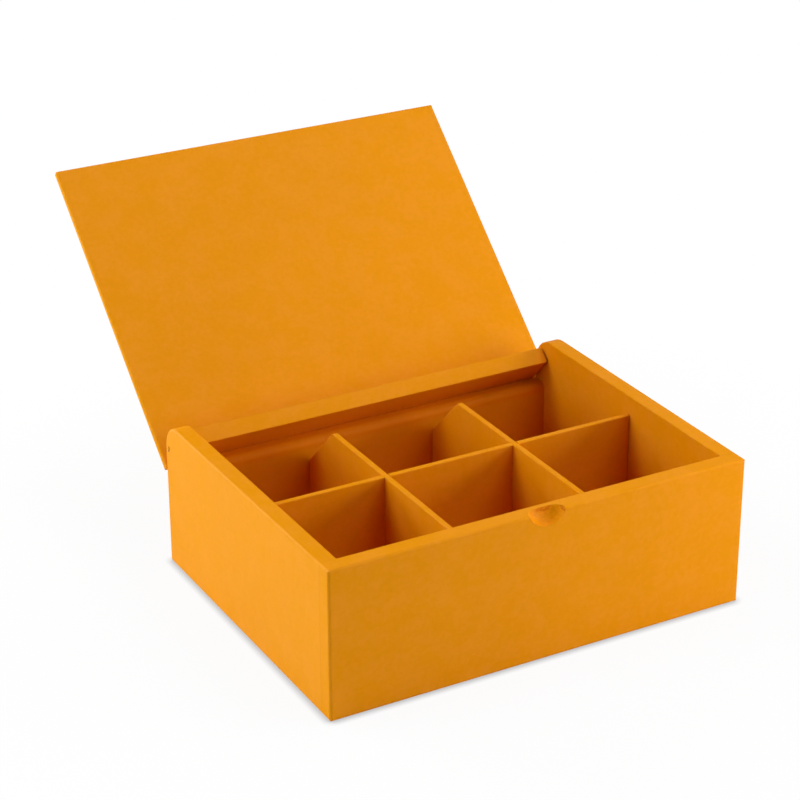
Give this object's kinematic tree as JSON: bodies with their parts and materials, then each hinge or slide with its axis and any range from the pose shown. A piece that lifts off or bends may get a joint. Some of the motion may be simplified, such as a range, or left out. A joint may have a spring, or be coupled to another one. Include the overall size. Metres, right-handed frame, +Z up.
{
  "type": "tea bag organizer box",
  "caption": "Painted wooden box with a flat hinged lid, divided by lapped boards into equal bays for tea bags, with a finger scoop in the front panel.",
  "frame": {"origin": "centre of the underside", "axes": "+X to the right seen from the front, +Y to the back where the lid hinges, +Z up; the front panel faces -Y"},
  "size_m": [0.24, 0.3254, 0.1786],
  "materials": {
    "walls": "satin saffron-orange paint over sanded wood",
    "lid": "satin saffron-orange paint over thin sheet wood",
    "dividers": "satin saffron-orange paint over thin boards",
    "steel": "bright drawn wire"
  },
  "bodies": {
    "box": {"front_panel": "walls", "back_panel": "walls", "left_side": "walls", "right_side": "walls", "base_panel": "walls", "cross_divider": "dividers", "left_divider": "dividers", "right_divider": "dividers", "left_hinge_pin": "steel", "right_hinge_pin": "steel", "front_corner_brads": "steel", "back_corner_brads": "steel", "base_brads": "steel"},
    "lid": {"lid_panel": "lid", "lid_rail": "lid", "lid_brads": "steel"}
  },
  "joints": [
    {"name": "lid_hinge", "type": "hinge", "parent": "box", "child": "lid", "pos_m": [0, 0.08825, 0.0691], "axis": [1, 0, 0], "range_deg": [0, 137.8]}
  ]
}
